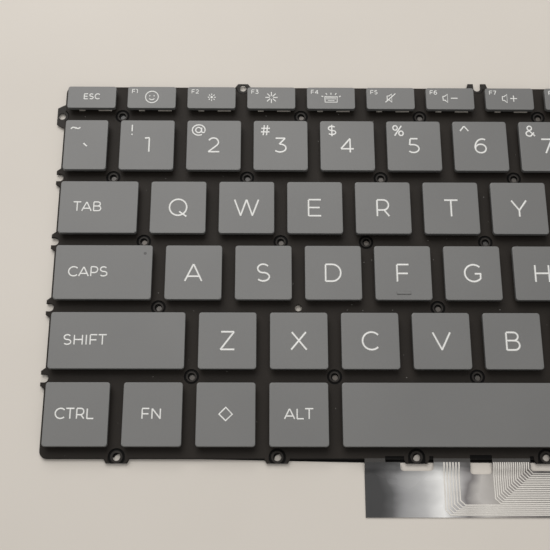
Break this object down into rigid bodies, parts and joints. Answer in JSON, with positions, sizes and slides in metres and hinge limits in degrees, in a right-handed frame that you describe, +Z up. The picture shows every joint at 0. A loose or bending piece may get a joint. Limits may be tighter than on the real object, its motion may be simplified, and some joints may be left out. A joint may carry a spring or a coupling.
{
  "type": "laptop replacement keyboard",
  "caption": "Thin laptop keyboard: grey scissor keycaps over a pierced black plate with screw tabs, backlight sheets below and a switch-film tail at the front edge.",
  "frame": {"origin": "centre of the part's box on the surface it lies on", "axes": "+X along the key rows to the right, +Y towards the function row, +Z up out of the keys"},
  "size_m": [0.2752, 0.14, 0.0043],
  "materials": {
    "key_grey": "matte",
    "black_plate": "matte",
    "black_film": "matte",
    "clear_sheet": "satin",
    "shield_film": "satin",
    "stiffener": "satin",
    "dark_links": "satin",
    "pale_links": "satin",
    "dome_rubber": "matte",
    "bar_steel": "satin"
  },
  "bodies": {
    "base": {"rear_shield": "shield_film", "light_guide": "clear_sheet", "base_plate": "black_plate", "membrane_sheet": "black_film", "tail_stiffener": "stiffener", "outer_links": "dark_links", "inner_links": "dark_links", "short_key_links": "pale_links", "rubber_domes": "dome_rubber", "stabiliser_bars": "bar_steel", "right_side_keycaps": "key_grey"},
    "key_esc": {"keycap_esc": "key_grey"},
    "key_f1": {"keycap_f1": "key_grey"},
    "key_f2": {"keycap_f2": "key_grey"},
    "key_f3": {"keycap_f3": "key_grey"},
    "key_f4": {"keycap_f4": "key_grey"},
    "key_f5": {"keycap_f5": "key_grey"},
    "key_f6": {"keycap_f6": "key_grey"},
    "key_f7": {"keycap_f7": "key_grey"},
    "key_f8": {"keycap_f8": "key_grey"},
    "key_grave": {"keycap_grave": "key_grey"},
    "key_1": {"keycap_1": "key_grey"},
    "key_2": {"keycap_2": "key_grey"},
    "key_3": {"keycap_3": "key_grey"},
    "key_4": {"keycap_4": "key_grey"},
    "key_5": {"keycap_5": "key_grey"},
    "key_6": {"keycap_6": "key_grey"},
    "key_7": {"keycap_7": "key_grey"},
    "key_8": {"keycap_8": "key_grey"},
    "key_9": {"keycap_9": "key_grey"},
    "key_tab": {"keycap_tab": "key_grey"},
    "key_q": {"keycap_q": "key_grey"},
    "key_w": {"keycap_w": "key_grey"},
    "key_e": {"keycap_e": "key_grey"},
    "key_r": {"keycap_r": "key_grey"},
    "key_t": {"keycap_t": "key_grey"},
    "key_y": {"keycap_y": "key_grey"},
    "key_u": {"keycap_u": "key_grey"},
    "key_i": {"keycap_i": "key_grey"},
    "key_caps": {"keycap_caps": "key_grey"},
    "key_a": {"keycap_a": "key_grey"},
    "key_s": {"keycap_s": "key_grey"},
    "key_d": {"keycap_d": "key_grey"},
    "key_f": {"keycap_f": "key_grey"},
    "key_g": {"keycap_g": "key_grey"},
    "key_h": {"keycap_h": "key_grey"},
    "key_j": {"keycap_j": "key_grey"},
    "key_k": {"keycap_k": "key_grey"},
    "key_shift_left": {"keycap_shift_left": "key_grey"},
    "key_z": {"keycap_z": "key_grey"},
    "key_x": {"keycap_x": "key_grey"},
    "key_c": {"keycap_c": "key_grey"},
    "key_v": {"keycap_v": "key_grey"},
    "key_b": {"keycap_b": "key_grey"},
    "key_n": {"keycap_n": "key_grey"},
    "key_ctrl_left": {"keycap_ctrl_left": "key_grey"},
    "key_fn": {"keycap_fn": "key_grey"},
    "key_meta": {"keycap_meta": "key_grey"},
    "key_alt_left": {"keycap_alt_left": "key_grey"},
    "key_space": {"keycap_space": "key_grey"}
  },
  "joints": [
    {"name": "press_esc", "type": "slide", "parent": "base", "child": "key_esc", "axis": [0, 0, 1], "range_m": [-0.0014, 0], "stiffness_N_per_m": 400, "springref_m": 0.0002, "deforming": ["short_key_links", "rubber_domes"]},
    {"name": "press_f1", "type": "slide", "parent": "base", "child": "key_f1", "axis": [0, 0, 1], "range_m": [-0.0014, 0], "stiffness_N_per_m": 400, "springref_m": 0.0002, "deforming": ["short_key_links", "rubber_domes"]},
    {"name": "press_f2", "type": "slide", "parent": "base", "child": "key_f2", "axis": [0, 0, 1], "range_m": [-0.0014, 0], "stiffness_N_per_m": 400, "springref_m": 0.0002, "deforming": ["short_key_links", "rubber_domes"]},
    {"name": "press_f3", "type": "slide", "parent": "base", "child": "key_f3", "axis": [0, 0, 1], "range_m": [-0.0014, 0], "stiffness_N_per_m": 400, "springref_m": 0.0002, "deforming": ["short_key_links", "rubber_domes"]},
    {"name": "press_f4", "type": "slide", "parent": "base", "child": "key_f4", "axis": [0, 0, 1], "range_m": [-0.0014, 0], "stiffness_N_per_m": 400, "springref_m": 0.0002, "deforming": ["short_key_links", "rubber_domes"]},
    {"name": "press_f5", "type": "slide", "parent": "base", "child": "key_f5", "axis": [0, 0, 1], "range_m": [-0.0014, 0], "stiffness_N_per_m": 400, "springref_m": 0.0002, "deforming": ["short_key_links", "rubber_domes"]},
    {"name": "press_f6", "type": "slide", "parent": "base", "child": "key_f6", "axis": [0, 0, 1], "range_m": [-0.0014, 0], "stiffness_N_per_m": 400, "springref_m": 0.0002, "deforming": ["short_key_links", "rubber_domes"]},
    {"name": "press_f7", "type": "slide", "parent": "base", "child": "key_f7", "axis": [0, 0, 1], "range_m": [-0.0014, 0], "stiffness_N_per_m": 400, "springref_m": 0.0002, "deforming": ["short_key_links", "rubber_domes"]},
    {"name": "press_f8", "type": "slide", "parent": "base", "child": "key_f8", "axis": [0, 0, 1], "range_m": [-0.0014, 0], "stiffness_N_per_m": 400, "springref_m": 0.0002, "deforming": ["short_key_links", "rubber_domes"]},
    {"name": "press_grave", "type": "slide", "parent": "base", "child": "key_grave", "axis": [0, 0, 1], "range_m": [-0.0014, 0], "stiffness_N_per_m": 400, "springref_m": 0.0002, "deforming": ["outer_links", "inner_links", "rubber_domes"]},
    {"name": "press_1", "type": "slide", "parent": "base", "child": "key_1", "axis": [0, 0, 1], "range_m": [-0.0014, 0], "stiffness_N_per_m": 400, "springref_m": 0.0002, "deforming": ["outer_links", "inner_links", "rubber_domes"]},
    {"name": "press_2", "type": "slide", "parent": "base", "child": "key_2", "axis": [0, 0, 1], "range_m": [-0.0014, 0], "stiffness_N_per_m": 400, "springref_m": 0.0002, "deforming": ["outer_links", "inner_links", "rubber_domes"]},
    {"name": "press_3", "type": "slide", "parent": "base", "child": "key_3", "axis": [0, 0, 1], "range_m": [-0.0014, 0], "stiffness_N_per_m": 400, "springref_m": 0.0002, "deforming": ["outer_links", "inner_links", "rubber_domes"]},
    {"name": "press_4", "type": "slide", "parent": "base", "child": "key_4", "axis": [0, 0, 1], "range_m": [-0.0014, 0], "stiffness_N_per_m": 400, "springref_m": 0.0002, "deforming": ["outer_links", "inner_links", "rubber_domes"]},
    {"name": "press_5", "type": "slide", "parent": "base", "child": "key_5", "axis": [0, 0, 1], "range_m": [-0.0014, 0], "stiffness_N_per_m": 400, "springref_m": 0.0002, "deforming": ["outer_links", "inner_links", "rubber_domes"]},
    {"name": "press_6", "type": "slide", "parent": "base", "child": "key_6", "axis": [0, 0, 1], "range_m": [-0.0014, 0], "stiffness_N_per_m": 400, "springref_m": 0.0002, "deforming": ["outer_links", "inner_links", "rubber_domes"]},
    {"name": "press_7", "type": "slide", "parent": "base", "child": "key_7", "axis": [0, 0, 1], "range_m": [-0.0014, 0], "stiffness_N_per_m": 400, "springref_m": 0.0002, "deforming": ["outer_links", "inner_links", "rubber_domes"]},
    {"name": "press_8", "type": "slide", "parent": "base", "child": "key_8", "axis": [0, 0, 1], "range_m": [-0.0014, 0], "stiffness_N_per_m": 400, "springref_m": 0.0002, "deforming": ["outer_links", "inner_links", "rubber_domes"]},
    {"name": "press_9", "type": "slide", "parent": "base", "child": "key_9", "axis": [0, 0, 1], "range_m": [-0.0014, 0], "stiffness_N_per_m": 400, "springref_m": 0.0002, "deforming": ["outer_links", "inner_links", "rubber_domes"]},
    {"name": "press_tab", "type": "slide", "parent": "base", "child": "key_tab", "axis": [0, 0, 1], "range_m": [-0.0014, 0], "stiffness_N_per_m": 400, "springref_m": 0.0002, "deforming": ["outer_links", "inner_links", "rubber_domes"]},
    {"name": "press_q", "type": "slide", "parent": "base", "child": "key_q", "axis": [0, 0, 1], "range_m": [-0.0014, 0], "stiffness_N_per_m": 400, "springref_m": 0.0002, "deforming": ["outer_links", "inner_links", "rubber_domes"]},
    {"name": "press_w", "type": "slide", "parent": "base", "child": "key_w", "axis": [0, 0, 1], "range_m": [-0.0014, 0], "stiffness_N_per_m": 400, "springref_m": 0.0002, "deforming": ["outer_links", "inner_links", "rubber_domes"]},
    {"name": "press_e", "type": "slide", "parent": "base", "child": "key_e", "axis": [0, 0, 1], "range_m": [-0.0014, 0], "stiffness_N_per_m": 400, "springref_m": 0.0002, "deforming": ["outer_links", "inner_links", "rubber_domes"]},
    {"name": "press_r", "type": "slide", "parent": "base", "child": "key_r", "axis": [0, 0, 1], "range_m": [-0.0014, 0], "stiffness_N_per_m": 400, "springref_m": 0.0002, "deforming": ["outer_links", "inner_links", "rubber_domes"]},
    {"name": "press_t", "type": "slide", "parent": "base", "child": "key_t", "axis": [0, 0, 1], "range_m": [-0.0014, 0], "stiffness_N_per_m": 400, "springref_m": 0.0002, "deforming": ["outer_links", "inner_links", "rubber_domes"]},
    {"name": "press_y", "type": "slide", "parent": "base", "child": "key_y", "axis": [0, 0, 1], "range_m": [-0.0014, 0], "stiffness_N_per_m": 400, "springref_m": 0.0002, "deforming": ["outer_links", "inner_links", "rubber_domes"]},
    {"name": "press_u", "type": "slide", "parent": "base", "child": "key_u", "axis": [0, 0, 1], "range_m": [-0.0014, 0], "stiffness_N_per_m": 400, "springref_m": 0.0002, "deforming": ["outer_links", "inner_links", "rubber_domes"]},
    {"name": "press_i", "type": "slide", "parent": "base", "child": "key_i", "axis": [0, 0, 1], "range_m": [-0.0014, 0], "stiffness_N_per_m": 400, "springref_m": 0.0002, "deforming": ["outer_links", "inner_links", "rubber_domes"]},
    {"name": "press_caps", "type": "slide", "parent": "base", "child": "key_caps", "axis": [0, 0, 1], "range_m": [-0.0014, 0], "stiffness_N_per_m": 400, "springref_m": 0.0002, "deforming": ["outer_links", "inner_links", "rubber_domes"]},
    {"name": "press_a", "type": "slide", "parent": "base", "child": "key_a", "axis": [0, 0, 1], "range_m": [-0.0014, 0], "stiffness_N_per_m": 400, "springref_m": 0.0002, "deforming": ["outer_links", "inner_links", "rubber_domes"]},
    {"name": "press_s", "type": "slide", "parent": "base", "child": "key_s", "axis": [0, 0, 1], "range_m": [-0.0014, 0], "stiffness_N_per_m": 400, "springref_m": 0.0002, "deforming": ["outer_links", "inner_links", "rubber_domes"]},
    {"name": "press_d", "type": "slide", "parent": "base", "child": "key_d", "axis": [0, 0, 1], "range_m": [-0.0014, 0], "stiffness_N_per_m": 400, "springref_m": 0.0002, "deforming": ["outer_links", "inner_links", "rubber_domes"]},
    {"name": "press_f", "type": "slide", "parent": "base", "child": "key_f", "axis": [0, 0, 1], "range_m": [-0.0014, 0], "stiffness_N_per_m": 400, "springref_m": 0.0002, "deforming": ["outer_links", "inner_links", "rubber_domes"]},
    {"name": "press_g", "type": "slide", "parent": "base", "child": "key_g", "axis": [0, 0, 1], "range_m": [-0.0014, 0], "stiffness_N_per_m": 400, "springref_m": 0.0002, "deforming": ["outer_links", "inner_links", "rubber_domes"]},
    {"name": "press_h", "type": "slide", "parent": "base", "child": "key_h", "axis": [0, 0, 1], "range_m": [-0.0014, 0], "stiffness_N_per_m": 400, "springref_m": 0.0002, "deforming": ["outer_links", "inner_links", "rubber_domes"]},
    {"name": "press_j", "type": "slide", "parent": "base", "child": "key_j", "axis": [0, 0, 1], "range_m": [-0.0014, 0], "stiffness_N_per_m": 400, "springref_m": 0.0002, "deforming": ["outer_links", "inner_links", "rubber_domes"]},
    {"name": "press_k", "type": "slide", "parent": "base", "child": "key_k", "axis": [0, 0, 1], "range_m": [-0.0014, 0], "stiffness_N_per_m": 400, "springref_m": 0.0002, "deforming": ["outer_links", "inner_links", "rubber_domes"]},
    {"name": "press_shift_left", "type": "slide", "parent": "base", "child": "key_shift_left", "axis": [0, 0, 1], "range_m": [-0.0014, 0], "stiffness_N_per_m": 400, "springref_m": 0.0002, "deforming": ["outer_links", "inner_links", "rubber_domes", "stabiliser_bars"]},
    {"name": "press_z", "type": "slide", "parent": "base", "child": "key_z", "axis": [0, 0, 1], "range_m": [-0.0014, 0], "stiffness_N_per_m": 400, "springref_m": 0.0002, "deforming": ["outer_links", "inner_links", "rubber_domes"]},
    {"name": "press_x", "type": "slide", "parent": "base", "child": "key_x", "axis": [0, 0, 1], "range_m": [-0.0014, 0], "stiffness_N_per_m": 400, "springref_m": 0.0002, "deforming": ["outer_links", "inner_links", "rubber_domes"]},
    {"name": "press_c", "type": "slide", "parent": "base", "child": "key_c", "axis": [0, 0, 1], "range_m": [-0.0014, 0], "stiffness_N_per_m": 400, "springref_m": 0.0002, "deforming": ["outer_links", "inner_links", "rubber_domes"]},
    {"name": "press_v", "type": "slide", "parent": "base", "child": "key_v", "axis": [0, 0, 1], "range_m": [-0.0014, 0], "stiffness_N_per_m": 400, "springref_m": 0.0002, "deforming": ["outer_links", "inner_links", "rubber_domes"]},
    {"name": "press_b", "type": "slide", "parent": "base", "child": "key_b", "axis": [0, 0, 1], "range_m": [-0.0014, 0], "stiffness_N_per_m": 400, "springref_m": 0.0002, "deforming": ["outer_links", "inner_links", "rubber_domes"]},
    {"name": "press_n", "type": "slide", "parent": "base", "child": "key_n", "axis": [0, 0, 1], "range_m": [-0.0014, 0], "stiffness_N_per_m": 400, "springref_m": 0.0002, "deforming": ["outer_links", "inner_links", "rubber_domes"]},
    {"name": "press_ctrl_left", "type": "slide", "parent": "base", "child": "key_ctrl_left", "axis": [0, 0, 1], "range_m": [-0.0014, 0], "stiffness_N_per_m": 400, "springref_m": 0.0002, "deforming": ["outer_links", "inner_links", "rubber_domes"]},
    {"name": "press_fn", "type": "slide", "parent": "base", "child": "key_fn", "axis": [0, 0, 1], "range_m": [-0.0014, 0], "stiffness_N_per_m": 400, "springref_m": 0.0002, "deforming": ["outer_links", "inner_links", "rubber_domes"]},
    {"name": "press_meta", "type": "slide", "parent": "base", "child": "key_meta", "axis": [0, 0, 1], "range_m": [-0.0014, 0], "stiffness_N_per_m": 400, "springref_m": 0.0002, "deforming": ["outer_links", "inner_links", "rubber_domes"]},
    {"name": "press_alt_left", "type": "slide", "parent": "base", "child": "key_alt_left", "axis": [0, 0, 1], "range_m": [-0.0014, 0], "stiffness_N_per_m": 400, "springref_m": 0.0002, "deforming": ["outer_links", "inner_links", "rubber_domes"]},
    {"name": "press_space", "type": "slide", "parent": "base", "child": "key_space", "axis": [0, 0, 1], "range_m": [-0.0014, 0], "stiffness_N_per_m": 600, "springref_m": 0.0002, "deforming": ["outer_links", "inner_links", "rubber_domes", "stabiliser_bars"]}
  ]
}
